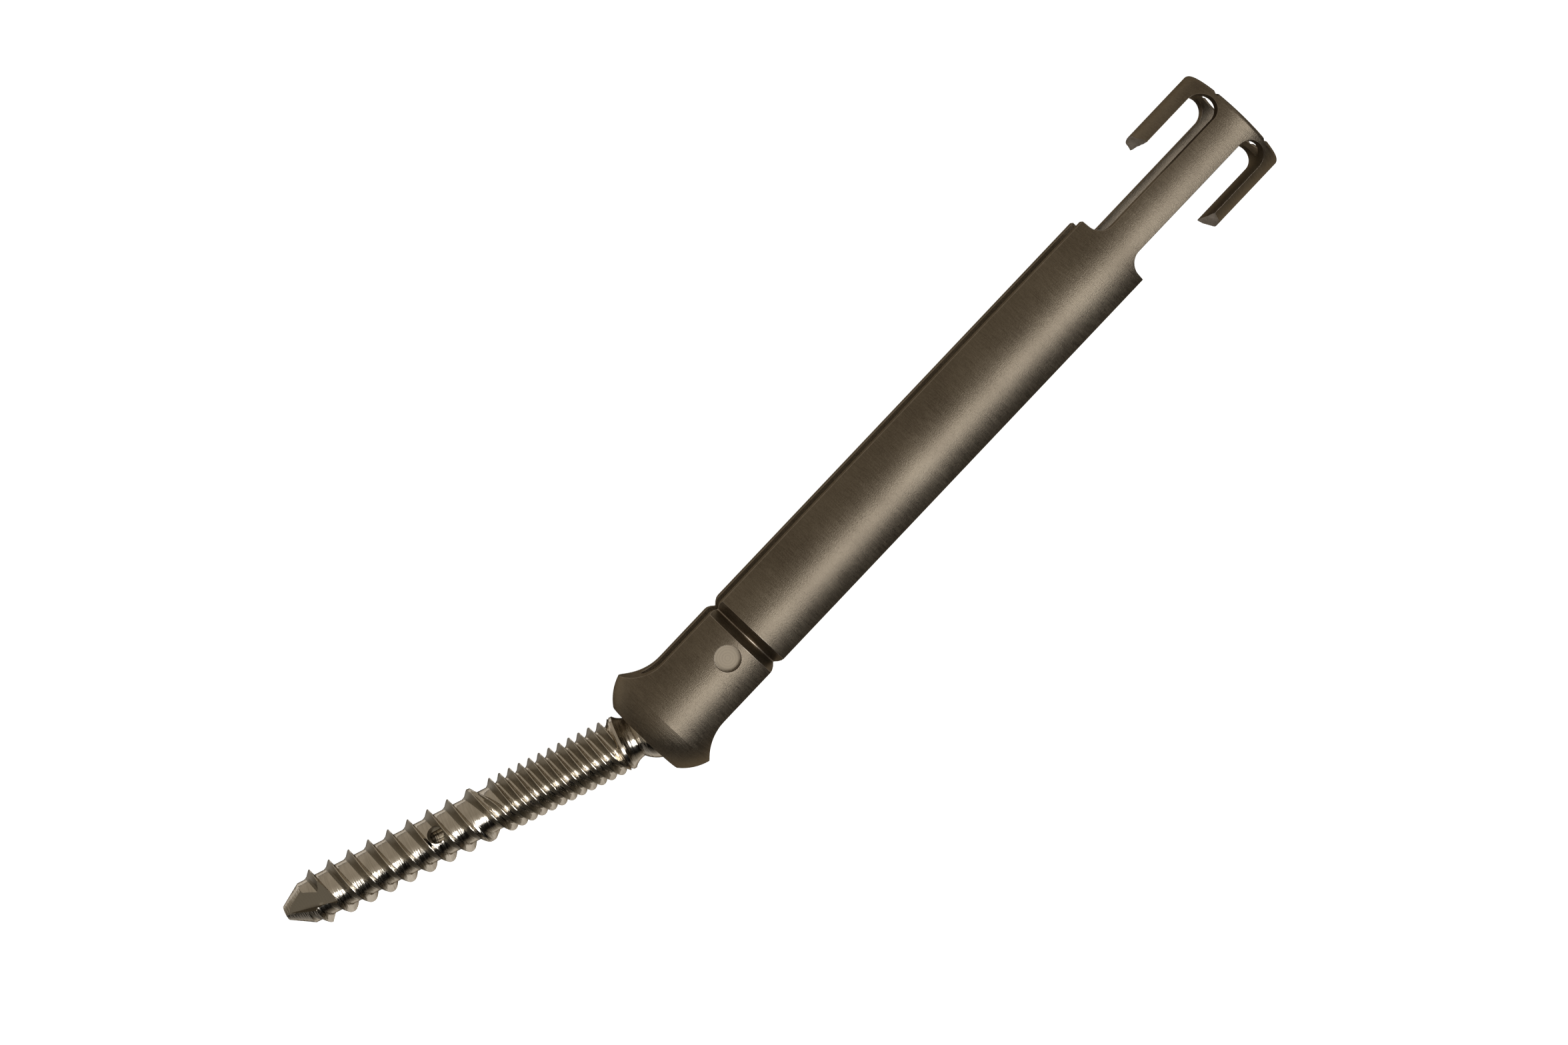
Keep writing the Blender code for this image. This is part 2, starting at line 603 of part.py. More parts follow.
def flute_tool(index):
    """Skewed V cut that gives the tip one of its cutting edges."""
    reach = CREST_RADIUS * 2
    cone_slope = math.tan(TIP_HALF_ANGLE)
    start = Vector((TIP_RADIUS + FLUTE_FROM * cone_slope, 0.0, FLUTE_FROM))
    end = Vector((ROOT_RADIUS, 0.0, FLUTE_TO))
    run = (end - start) * 1.6
    start = start - run * 0.2
    bm = bmesh.new()
    valley = bm.verts.new(start)
    steep = bm.verts.new(
        start + reach * Vector((math.cos(FLUTE_STEEP_SIDE), math.sin(FLUTE_STEEP_SIDE), 0.0))
    )
    gentle = bm.verts.new(
        start + reach * Vector((math.cos(FLUTE_GENTLE_SIDE), -math.sin(FLUTE_GENTLE_SIDE), 0.0))
    )
    face = bm.faces.new((valley, steep, gentle))
    grown = bmesh.ops.extrude_face_region(bm, geom=[face], use_keep_orig=True)["geom"]
    moved = [item for item in grown if isinstance(item, bmesh.types.BMVert)]
    bmesh.ops.translate(bm, verts=moved, vec=run)
    middle = Matrix.Translation((0.0, 0.0, -FLUTE_FROM))
    skew = Matrix.Rotation(FLUTE_SKEW, 4, "X")
    place = Matrix.Translation((0.0, 0.0, FLUTE_FROM - SHANK_LENGTH))
    turn = Matrix.Rotation(FLUTE_TURN + math.tau * index / FLUTES, 4, "Z")
    bmesh.ops.transform(bm, verts=bm.verts, matrix=turn @ place @ skew @ middle)
    return to_object(bm, f"flute_tool_{index}")


def make_shank(parent, material):
    thread_top = SHANK_LENGTH + collar_top() - COLLAR_LENGTH + COLLAR_CHAMFER / 2
    shank = make_threaded_rod("bone_screw_shank", -OVERCUT, thread_top, parent, material)
    combine(shank, tip_envelope(), "INTERSECT")
    combine(shank, head_shape(), "UNION")
    for index in range(FLUTES):
        combine(shank, flute_tool(index), "DIFFERENCE")
    low = -SHANK_LENGTH - OVERCUT
    straight = Matrix.Identity(4)
    cannula = cylinder_tool("cannula_tool", CANNULA_RADIUS, low, BALL_RADIUS, straight, TURN_STEPS)
    combine(shank, cannula, "DIFFERENCE")
    combine(shank, drive_tool(), "DIFFERENCE")
    across = Matrix.Rotation(SIDE_HOLE_TURN, 4, "Z") @ Matrix.Translation(
        (0.0, 0.0, SIDE_HOLE_FROM_TIP - SHANK_LENGTH)
    ) @ Matrix.Rotation(math.pi / 2, 4, "Y")
    hole_reach = CREST_RADIUS + OVERCUT
    hole = cylinder_tool("side_hole_tool", SIDE_HOLE_RADIUS, 0.0, hole_reach, across, TURN_STEPS)
    combine(shank, hole, "DIFFERENCE")
    return shank


def evaluated_points(obj):
    """World positions of an object's points, with its modifiers."""
    graph = bpy.context.evaluated_depsgraph_get()
    shown = obj.evaluated_get(graph)
    mesh = shown.to_mesh()
    points = [shown.matrix_world @ vert.co for vert in mesh.vertices]
    shown.to_mesh_clear()
    return points


def lean_angles(droop):
    """Turn of the lean about the tower's axis, and the lean itself, for a droop of the tip."""
    sideways = math.cos(droop) * math.sin(LEAN_IN_PLAN)
    lean = math.acos(math.cos(droop) * math.cos(LEAN_IN_PLAN))
    return -math.atan2(math.sin(droop), sideways), lean


def rest_droop(points):
    """Droop at which the lowest of the shank's points, given in its own frame, meets the floor."""
    low, high = 0.0, math.radians(15.0)
    for _ in range(40):
        droop = (low + high) / 2
        turn, lean = lean_angles(droop)
        world = (
            Matrix.Rotation(math.pi / 2, 4, "Y")
            @ Matrix.Rotation(turn, 4, "Z")
            @ Matrix.Rotation(lean, 4, "X")
        )
        if min((world @ point).z for point in points) + TOWER_RADIUS > 0.0:
            low = droop
        else:
            high = droop
    return (low + high) / 2


def main():
    clear_scene()
    bronze = metal("bronze anodised titanium", (0.115, 0.095, 0.07), 0.42)
    bare = metal("machined titanium", (0.42, 0.37, 0.3), 0.25)
    dark = metal("dark titanium", (0.2, 0.18, 0.15), 0.35)

    rest = empty("rest_frame")
    tower_axis = empty(
        "tower_axis", rest, location=(0.0, 0.0, TOWER_RADIUS), rotation=(0.0, math.pi / 2, 0.0)
    )
    swivel_axis = empty("swivel_axis", tower_axis, location=(0.0, 0.0, BALL_CENTRE))
    tilt_axis = empty("tilt_axis", swivel_axis)
    tower = make_tower(tower_axis, bronze)
    saddle = make_saddle(tower_axis, dark)
    ring = make_ring(swivel_axis, dark)
    shank = make_shank(None, bare)

    droop = rest_droop(evaluated_points(shank))
    turn, lean = lean_angles(droop)
    swivel_axis.rotation_euler = (0.0, 0.0, turn)
    tilt_axis.rotation_euler = (lean, 0.0, 0.0)
    shank.parent = tilt_axis
    for modifier in shank.modifiers:
        modifier.object.parent = tilt_axis
    bpy.context.view_layer.update()

    points = [point for piece in (tower, saddle, ring, shank) for point in evaluated_points(piece)]
    low = Vector([min(point[i] for point in points) for i in range(3)])
    high = Vector([max(point[i] for point in points) for i in range(3)])
    rest.location = (-(low.x + high.x) / 2, -(low.y + high.y) / 2, -low.z)
    bpy.context.view_layer.update()


main()
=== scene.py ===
"""Looks of a polyaxial bone screw with a long break-off tower, lying on a white table."""

import json
import math

import bmesh
import bpy
from mathutils import Matrix, Vector, noise


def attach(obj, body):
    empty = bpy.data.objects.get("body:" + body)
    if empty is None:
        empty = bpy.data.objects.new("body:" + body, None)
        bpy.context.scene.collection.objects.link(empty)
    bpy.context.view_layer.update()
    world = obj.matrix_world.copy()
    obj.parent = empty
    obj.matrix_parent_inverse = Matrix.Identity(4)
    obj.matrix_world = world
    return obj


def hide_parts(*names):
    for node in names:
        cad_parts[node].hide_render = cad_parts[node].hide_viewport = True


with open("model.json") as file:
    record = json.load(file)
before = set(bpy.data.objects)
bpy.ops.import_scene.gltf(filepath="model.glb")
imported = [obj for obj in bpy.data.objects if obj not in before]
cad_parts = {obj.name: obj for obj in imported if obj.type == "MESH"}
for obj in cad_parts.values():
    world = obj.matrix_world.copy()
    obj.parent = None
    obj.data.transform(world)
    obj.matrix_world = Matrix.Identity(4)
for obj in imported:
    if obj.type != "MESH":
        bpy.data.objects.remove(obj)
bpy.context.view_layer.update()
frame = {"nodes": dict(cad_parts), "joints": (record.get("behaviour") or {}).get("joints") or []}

MM = 0.001

# Tower, measured up from the receiver's bottom face along its axis
TOWER_LENGTH = 95.5 * MM
TOWER_RADIUS = 7.0 * MM
BOTTOM_RADIUS = 4.9 * MM
DOME_HEIGHT = 3.05 * MM
DOME_BULGE = 0.3 * MM
FLAT_HALF_WIDTH = 4.68 * MM
FLAT_RUN_OUT = 5.5 * MM
UPPER_BORE_RADIUS = 4.8 * MM
LOWER_BORE_RADIUS = 4.5 * MM
LOWER_BORE_TOP = 15.0 * MM
BORE_STEP = 0.3 * MM
RIM_ROUNDING = 0.5 * MM
BORE_CHAMFER = 0.25 * MM
ROD_SLOT_WIDTH = 5.6 * MM
ROD_CENTRE = 7.7 * MM
GROOVE_CENTRE = 16.05 * MM
GROOVE_OPENING = 2.03 * MM
GROOVE_ROOT_RADIUS = 5.35 * MM
GROOVE_ROOT_WIDTH = 0.12 * MM
NICK_DEPTH = 0.42 * MM
NICK_HALF_WIDTH = 0.75 * MM
DIMPLE_CENTRE = 12.9 * MM
DIMPLE_RADIUS = 1.5 * MM
DIMPLE_DEPTH = 1.0 * MM
SHOULDER = 74.95 * MM
SHOULDER_FILLET = 1.8 * MM
STRIP_HALF_WIDTH = 2.04 * MM
WINDOW_BELOW_RIM = 0.85 * MM
TAB_INNER = 5.46 * MM
TAB_STUBS = {1: 10.0 * MM, -1: 10.4 * MM}
BREAK_ROUGHNESS = 0.45 * MM
BREAK_GRAIN = 1.6 * MM
BREAK_COARSE_SHARE = 0.5
BREAK_FINE_SHARE = 0.06
BREAK_FINE_SCALE = 0.25
BREAK_FRACTAL = (0.8, 2.0, 4)
BREAK_SLOPE = 0.1
BREAK_RETREAT = 0.35 * MM
BREAK_REACH = 1.3 * MM
RIM_NICK_DEPTH = 0.25 * MM
RIM_NICK_HALF_WIDTH = 0.3 * MM

# Set-screw thread in the receiver's bore, cut as rings. The section of a ring is given as
# (share of the pitch below its start, share of the depth)
SET_SCREW_PITCH = 1.5 * MM
SET_SCREW_DEPTH = 0.35 * MM
SET_SCREW_TURNS = 3
SET_SCREW_FIRST_TURN = 0.5
SET_SCREW_SECTION = ((0.0, 0.0), (0.1, 1.0), (0.4, 1.0), (0.7, 0.0))

# Ball joint
BALL_CENTRE = 1.9 * MM
BALL_RADIUS = 3.6 * MM
BALL_TOP = 1.9 * MM
RUNNING_GAP = 0.1 * MM
LIP_HEIGHT = 0.35 * MM
LIP_RADIUS = 3.75 * MM
LIP_MOUTH_RADIUS = 3.95 * MM
RING_OUTER_RADIUS = 4.65 * MM
RING_HEIGHT = 1.15 * MM

# Screw shank, measured from its tip towards the ball
SHANK_LENGTH = 46.8 * MM
TIP_RADIUS = 0.85 * MM
TIP_HALF_ANGLE = math.radians(31.5)
CREST_RADIUS = 3.25 * MM
ROOT_RADIUS = 2.45 * MM
THREAD_LEAD = 5.0 * MM
COARSE_STARTS = 2
FIRST_CREST = 4.42 * MM
CREST_LAND = 0.1 * MM
DISTAL_FLANK = 0.84 * MM
PROXIMAL_FLANK = 0.2 * MM
FINE_FLANK = 0.68 * MM
COARSE_FILLET = 0.12 * MM
FINE_FILLET = 0.04 * MM
WIDENING_FROM = 23.2 * MM
WIDENING_TO = 24.6 * MM
SPLIT_TO = 25.9 * MM
WIDE_CREST = 0.25 * MM
WIDE_FLANK = 0.6 * MM
RESTING_RUN = 0.3 * MM
FINE_SHIFT = 0.32 * MM
COLLAR_RADIUS = 3.2 * MM
COLLAR_LENGTH = 1.2 * MM
COLLAR_CHAMFER = 0.75 * MM
COLLAR_CORE = 0.9 * ROOT_RADIUS
NECK_RADIUS = 2.42 * MM
NECK_BELOW_BALL = 2.5 * MM
NECK_FILLET = 2.11 * MM
CANNULA_RADIUS = 0.7 * MM
SIDE_HOLE_RADIUS = 1.0 * MM
SIDE_HOLE_FROM_TIP = 19.42 * MM
DRIVE_RADIUS = 1.95 * MM
DRIVE_LOBE = 0.3 * MM
DRIVE_LOBES = 6
DRIVE_DEPTH = 2.6 * MM
FLUTES = 3
FLUTE_FROM = 0.55 * MM
FLUTE_TO = 5.6 * MM
FLUTE_STRETCH = 1.6
FLUTE_LEAD_IN = 0.2
FLUTE_SKEW = math.radians(-9.0)
FLUTE_STEEP_SIDE = math.radians(15.0)
FLUTE_GENTLE_SIDE = math.radians(86.0)
THREAD_TURN = math.radians(97.5)
SIDE_HOLE_TURN = math.radians(183.0)
FLUTE_TURN = math.radians(199.0)
DRIVE_TURN = math.radians(7.3)

# Fineness of the meshes
TOWER_STEPS = 160
SHANK_STEPS = 72
HOLE_STEPS = 60
LOBE_STEPS = 12
WIDE_CREST_STEPS = 6
BREAK_GRID = (56, 14)
ARC_STEP = math.radians(5.0)
MERGE_DISTANCE = 0.001 * MM
SLIVER_DISTANCE = 0.004 * MM
OVERCUT = 1.0 * MM

# Edges: the angles from which they are shaded crisp or eased, and how wide they are eased
CRISP_ON_TOWER = math.radians(12.0)
CRISP_NEAR_TIP = math.radians(13.0)
CRISP_ON_THREAD = math.radians(33.0)
EASED_FROM = math.radians(24.0)
EASED_WIDTH = 0.05 * MM
EASED_STEPS = 2

# Finishes of a piece's faces, by material slot: its own skin, what broke, what was milled
# after turning with the painted shade of the thread's distal flanks, and edges that handling
# has worn with a painted highlight on them and on the groove's root
SKIN, BROKEN, MILLED_AND_FLANK_SHADE, WORN_AND_HIGHLIGHT = 0, 1, 2, 3
FINISHES = 4
# A ridge's face has the milled finish, darker as painted shade, if it faces the tip by more than
# this
SHADED_FLANK_FACING = 0.4

# Camera, fitted to the photograph's edges: turns, offset of the aim, distance and scale
CAMERA_TURNS = (math.radians(4.731), math.radians(0.535), math.radians(46.543))
CAMERA_OFFSET = (-17.509 * MM, -10.806 * MM, 484.362 * MM)
AIM_ALONG_TOWER = 48.0 * MM
PIXELS_PER_METRE = 13421.0
IMAGE_WIDTH = 2352
SENSOR_WIDTH = 36.0
CLIP_START = 10.0 * MM

# Table and light, in metres and watts
TABLE_SIZE = 12.0
TABLE_GLOW = 0.96
SOFTBOX_POWER = 3.5
SOFTBOX_PLACE = (0.0, -0.325, 0.75)
SOFTBOX_SIZE = (0.9, 0.4)
SOFTBOX_COLOUR = "#fffefc"
# Room colours by the angle from straight overhead, positive towards the near side
ROOM_BY_ANGLE = (
    (-179, "#4a443c"), (-166, "#4a443c"), (-152, "#d6d0c8"), (-127, "#d6d0c8"),
    (-123, "#1c1812"), (-119, "#90877a"), (-60, "#8c8375"), (-20, "#8a8173"),
    (-8, "#9c9385"), (16, "#9c9385"), (34, "#3a342c"), (40, "#0d0b09"),
    (82, "#0d0b09"), (98, "#5e574d"), (116, "#867f74"), (136, "#d6d0c8"),
    (152, "#d6d0c8"), (166, "#4a443c"), (179, "#4a443c"),
)
# The room's end wall, past the tip: where it is darkest, where it ends, and its least tone
END_WALL_DARKEST = -0.85
END_WALL_END = -0.5
END_WALL_TONE = 0.3


def placements():
    """Matrices that put tower and shank, built upright, where the CAD has them at rest."""
    tilt = next(joint for joint in frame["joints"] if joint["name"] == "tilt")
    ball = Vector(tilt["pos_m"])
    turn = math.atan2(tilt["axis"][1], -tilt["axis"][2])
    lean = math.radians(-sum(tilt["range_deg"]) / 2)
    ball_frame = Matrix.Translation(ball) @ Matrix.Rotation(math.pi / 2, 4, "Y")
    tower = ball_frame @ Matrix.Translation((0.0, 0.0, -BALL_CENTRE))
    shank = ball_frame @ Matrix.Rotation(turn, 4, "Z") @ Matrix.Rotation(lean, 4, "X")
    return tower, shank


TOWER_PLACE, SHANK_PLACE = placements()


def linear(colour):
    """Turn an sRGB hex colour into linear red, green, blue and alpha."""
    channels = [int(colour[i : i + 2], 16) / 255 for i in (1, 3, 5)]
    lit = [c / 12.92 if c <= 0.04045 else ((c + 0.055) / 1.055) ** 2.4 for c in channels]
    return lit + [1.0]


def add(tree, kind, inputs=None, **settings):
    """Add a node, set what it is given, and link the inputs that come from other nodes."""
    node = tree.nodes.new(kind)
    for name, value in settings.items():
        setattr(node, name, value)
    for name, value in (inputs or {}).items():
        if isinstance(value, bpy.types.NodeSocket):
            tree.links.new(value, node.inputs[name])
        else:
            node.inputs[name].default_value = value
    return node


def to_object(bm, name, finish=SKIN):
    """Make a mesh object. Its new faces carry one finish, which a Boolean hands on."""
    bmesh.ops.remove_doubles(bm, verts=bm.verts, dist=MERGE_DISTANCE)
    bmesh.ops.recalc_face_normals(bm, faces=bm.faces)
    for face in bm.faces:
        if face.material_index == SKIN:
            face.material_index = finish
    mesh = bpy.data.meshes.new(name)
    for _ in range(FINISHES):
        mesh.materials.append(None)
    bm.to_mesh(mesh)
    bm.free()
    obj = bpy.data.objects.new(name, mesh)
    bpy.context.collection.objects.link(obj)
    return obj


def combine(obj, tool, operation="DIFFERENCE"):
    """Cut, join or intersect an object with a tool shape, which is used up."""
    modifier = obj.modifiers.new("combine", "BOOLEAN")
    modifier.operation = operation
    modifier.object = tool
    modifier.solver = "EXACT"
    graph = bpy.context.evaluated_depsgraph_get()
    result = bpy.data.meshes.new_from_object(obj.evaluated_get(graph))
    obj.modifiers.clear()
    obj.data = result
    bpy.data.objects.remove(tool, do_unlink=True)


def arc(centre, radius, start, end):
    """Points along an arc, from one angle to another."""
    steps = max(2, math.ceil(abs(end - start) / ARC_STEP))
    angles = [start + (end - start) * i / steps for i in range(steps + 1)]
    return [
        (centre[0] + radius * math.cos(a), centre[1] + radius * math.sin(a)) for a in angles
    ]


def bulged(first, last, bulge):
    """Points along the shallow arc between two points, bulging to the right of travel."""
    chord = Vector(last) - Vector(first)
    radius = (chord.length / 2) ** 2 / (2 * bulge) + bulge / 2
    left = Vector((-chord.y, chord.x)).normalized()
    centre = (Vector(first) + Vector(last)) / 2 + left * (radius - bulge)
    start = math.atan2(first[1] - centre.y, first[0] - centre.x)
    end = math.atan2(last[1] - centre.y, last[0] - centre.x)
    return arc(centre, radius, start, end)


def lathe(name, outline, steps):
    """Turn an outline of (radius, height) points round +Z. Off the axis, it is closed first."""
    bm = bmesh.new()
    verts = [bm.verts.new((radius, 0.0, height)) for radius, height in outline]
    edges = [bm.edges.new(pair) for pair in zip(verts, verts[1:])]
    if outline[0][0] > 0.0:
        edges.append(bm.edges.new((verts[-1], verts[0])))
    bmesh.ops.spin(
        bm, geom=verts + edges, cent=(0, 0, 0), axis=(0, 0, 1), angle=math.tau, steps=steps,
        use_merge=True,
    )
    return to_object(bm, name)


def extrude(bm, faces):
    """Extrude faces, keep them as the near end, and return the far end's vertices."""
    grown = bmesh.ops.extrude_face_region(bm, geom=faces, use_keep_orig=True)["geom"]
    return [item for item in grown if isinstance(item, bmesh.types.BMVert)]


def add_prism(bm, outline, along, start, end):
    """Extrude a closed outline of (across, height) points along X or Y."""
    if along == "X":
        verts = [bm.verts.new((start, across, height)) for across, height in outline]
        travel = Vector((end - start, 0.0, 0.0))
    else:
        verts = [bm.verts.new((across, start, height)) for across, height in outline]
        travel = Vector((0.0, end - start, 0.0))
    bmesh.ops.translate(bm, verts=extrude(bm, [bm.faces.new(verts)]), vec=travel)


def prism(name, outline, along, start, end):
    """Make an object that is one extruded outline."""
    bm = bmesh.new()
    add_prism(bm, outline, along, start, end)
    return to_object(bm, name)


def cylinder(name, radius, low, high, placing, finish=SKIN):
    """Make a round bar between two heights, then place it."""
    bm = bmesh.new()
    made = bmesh.ops.create_cone(
        bm, cap_ends=True, segments=HOLE_STEPS, radius1=radius, radius2=radius,
        depth=high - low,
    )
    bmesh.ops.translate(bm, verts=made["verts"], vec=(0.0, 0.0, (low + high) / 2))
    bmesh.ops.transform(bm, verts=bm.verts, matrix=placing)
    return to_object(bm, name, finish)


def tower_outline():
    """Closed section of the whole tower: up its outside, then down its bore."""
    slope = (TOWER_RADIUS - GROOVE_ROOT_RADIUS) / (GROOVE_OPENING - GROOVE_ROOT_WIDTH) * 2
    root_half = GROOVE_ROOT_WIDTH / 2
    flank = (TOWER_RADIUS - GROOVE_ROOT_RADIUS) / slope
    ring_bottom = LIP_HEIGHT + RUNNING_GAP
    ring_top = ring_bottom + RING_HEIGHT
    pocket_radius = RING_OUTER_RADIUS + RUNNING_GAP
    outline = bulged((BOTTOM_RADIUS, 0.0), (TOWER_RADIUS, DOME_HEIGHT), DOME_BULGE)
    outline += [
        (TOWER_RADIUS, GROOVE_CENTRE - root_half - flank),
        (GROOVE_ROOT_RADIUS, GROOVE_CENTRE - root_half),
        (GROOVE_ROOT_RADIUS, GROOVE_CENTRE + root_half),
        (TOWER_RADIUS, GROOVE_CENTRE + root_half + flank),
    ]
    rim_centre = (TOWER_RADIUS - RIM_ROUNDING, TOWER_LENGTH - RIM_ROUNDING)
    outline += arc(rim_centre, RIM_ROUNDING, 0.0, math.pi / 2)
    outline += [
        (UPPER_BORE_RADIUS + BORE_CHAMFER, TOWER_LENGTH),
        (UPPER_BORE_RADIUS, TOWER_LENGTH - BORE_CHAMFER),
        (UPPER_BORE_RADIUS, LOWER_BORE_TOP + BORE_STEP),
        (LOWER_BORE_RADIUS, LOWER_BORE_TOP),
    ]
    for turn in range(SET_SCREW_TURNS):
        start = LOWER_BORE_TOP - (turn + SET_SCREW_FIRST_TURN) * SET_SCREW_PITCH
        outline += [
            (LOWER_BORE_RADIUS + SET_SCREW_DEPTH * depth, start - SET_SCREW_PITCH * below)
            for below, depth in SET_SCREW_SECTION
        ]
    outline += [
        (LOWER_BORE_RADIUS, ring_top + RUNNING_GAP),
        (pocket_radius, ring_top + RUNNING_GAP),
        (pocket_radius, LIP_HEIGHT),
        (LIP_RADIUS, LIP_HEIGHT),
        (LIP_MOUTH_RADIUS, 0.0),
    ]
    return outline


def side_outline(side):
    """What is cut from one side: the flat with its run-out, the window and the broken tab."""
    outside = TOWER_RADIUS + OVERCUT
    run_out_top = DOME_HEIGHT + math.sqrt(
        FLAT_RUN_OUT**2 - (FLAT_RUN_OUT + FLAT_HALF_WIDTH - TOWER_RADIUS) ** 2
    )
    run_out_centre = (FLAT_HALF_WIDTH + FLAT_RUN_OUT, run_out_top)
    start = -math.acos((outside - run_out_centre[0]) / FLAT_RUN_OUT)
    fillet_centre = (STRIP_HALF_WIDTH + SHOULDER_FILLET, SHOULDER + SHOULDER_FILLET)
    window_radius = (TAB_INNER - STRIP_HALF_WIDTH) / 2
    window_top = TOWER_LENGTH - WINDOW_BELOW_RIM
    window_centre = (STRIP_HALF_WIDTH + window_radius, window_top - window_radius)
    outline = arc(run_out_centre, FLAT_RUN_OUT, start, -math.pi)
    outline.append((FLAT_HALF_WIDTH, SHOULDER))
    outline += arc(fillet_centre, SHOULDER_FILLET, -math.pi / 2, -math.pi)
    outline += arc(window_centre, window_radius, math.pi, 0.0)
    clear_of_break = TOWER_LENGTH - TAB_STUBS[side] - BREAK_REACH
    outline += [(TAB_INNER, clear_of_break), (outside, clear_of_break)]
    return [(side * across, height) for across, height in outline]


def tab_break(side):
    """Block whose upper face is rough, as the tab tore when it was snapped off."""
    bm = bmesh.new()
    outside = TOWER_RADIUS + OVERCUT
    inner = TAB_INNER - OVERCUT / 2
    made = bmesh.ops.create_grid(
        bm, x_segments=BREAK_GRID[0], y_segments=BREAK_GRID[1], size=1.0
    )["verts"]
    bmesh.ops.scale(bm, verts=made, vec=(TOWER_RADIUS, (outside - inner) / 2, 1.0))
    break_height = TOWER_LENGTH - TAB_STUBS[side] + BREAK_RETREAT
    middle = Vector((0.0, side * (outside + inner) / 2, break_height))
    bmesh.ops.translate(bm, verts=made, vec=middle)
    sheet = list(bm.faces)
    for vert in made:
        coarse = noise.noise(vert.co / BREAK_GRAIN)
        fine = noise.fractal(vert.co / (BREAK_GRAIN * BREAK_FINE_SCALE), *BREAK_FRACTAL)
        grain = BREAK_COARSE_SHARE * coarse + BREAK_FINE_SHARE * fine
        vert.co.z += BREAK_ROUGHNESS * grain - BREAK_SLOPE * vert.co.x
    for vert in extrude(bm, sheet):
        vert.co.z = break_height - BREAK_REACH - OVERCUT
    return to_object(bm, "tab_break", BROKEN)


def make_tower():
    """Receiver, half shells, strips and ring in one turned and milled piece."""
    tower = lathe("titanium_tower", tower_outline(), TOWER_STEPS)
    # The groove's root takes the pale worn-edge material: a painted highlight line along the
    # root
    for face in tower.data.polygons:
        at_root = abs(face.center.z - GROOVE_CENTRE) < GROOVE_ROOT_WIDTH / 2
        if at_root and face.center.xy.length > UPPER_BORE_RADIUS:
            face.material_index = WORN_AND_HIGHLIGHT
    reach = TOWER_RADIUS + OVERCUT
    radius = ROD_SLOT_WIDTH / 2
    top = SHOULDER + ROD_SLOT_WIDTH
    slot = [(radius, top), *arc((0.0, ROD_CENTRE), radius, 0.0, -math.pi), (-radius, top)]
    combine(tower, prism("rod_slot", slot, "Y", -reach, reach))
    for side in (1, -1):
        combine(tower, prism("side", side_outline(side), "X", -reach, reach))
        combine(tower, tab_break(side))
    nicks = bmesh.new()
    for side in (1, -1):
        outline = [
            (FLAT_HALF_WIDTH + OVERCUT, GROOVE_CENTRE - NICK_HALF_WIDTH - OVERCUT),
            (FLAT_HALF_WIDTH, GROOVE_CENTRE - NICK_HALF_WIDTH),
            (FLAT_HALF_WIDTH - NICK_DEPTH / 3, GROOVE_CENTRE - NICK_HALF_WIDTH / 2),
            (FLAT_HALF_WIDTH - NICK_DEPTH, GROOVE_CENTRE),
            (FLAT_HALF_WIDTH - NICK_DEPTH / 3, GROOVE_CENTRE + NICK_HALF_WIDTH / 2),
            (FLAT_HALF_WIDTH, GROOVE_CENTRE + NICK_HALF_WIDTH),
            (FLAT_HALF_WIDTH + OVERCUT, GROOVE_CENTRE + NICK_HALF_WIDTH + OVERCUT),
        ]
        outline = [(side * across, height) for across, height in outline]
        add_prism(nicks, outline, "X", -TOWER_RADIUS, TOWER_RADIUS)
    combine(tower, to_object(nicks, "nicks"))
    for turn in (math.pi / 2, -math.pi / 2):
        placing = Matrix.Translation((0.0, 0.0, DIMPLE_CENTRE)) @ Matrix.Rotation(turn, 4, "Y")
        low = TOWER_RADIUS - DIMPLE_DEPTH
        combine(tower, cylinder("dimple", DIMPLE_RADIUS, low, reach, placing, MILLED_AND_FLANK_SHADE))
    rim = bmesh.new()
    for side in (1, -1):
        middle = side * (STRIP_HALF_WIDTH + TAB_INNER) / 2
        outline = [
            (middle - 2 * RIM_NICK_HALF_WIDTH, TOWER_LENGTH + RIM_NICK_DEPTH),
            (middle, TOWER_LENGTH - RIM_NICK_DEPTH),
            (middle + 2 * RIM_NICK_HALF_WIDTH, TOWER_LENGTH + RIM_NICK_DEPTH),
        ]
        add_prism(rim, outline, "X", -reach, reach)
    combine(tower, to_object(rim, "rim_nicks"))
    return tower


def ridge(centre, distal, proximal, fillet, height):
    """Section of one thread ridge, from the tip's side over its crest: (along, radius).

    The shape gives shares of the height. Its distal flank is slightly hollow, as the thread
    mill leaves it.
    """
    half = CREST_LAND / 2
    shape = [
        (-half - distal - fillet, 0.0),
        (-half - distal, 0.035),
        (-half - distal * 0.6, 0.27),
        (-half - distal * 0.12, 0.87),
        (-half, 0.99),
        (0.0, 1.0),
        (half, 0.99),
        (half + proximal * 0.12, 0.87),
        (half + proximal * 0.75, 0.2),
        (half + proximal, 0.06),
        (half + proximal + fillet, 0.0),
    ]
    return [(centre + along, ROOT_RADIUS + height * part) for along, part in shape]


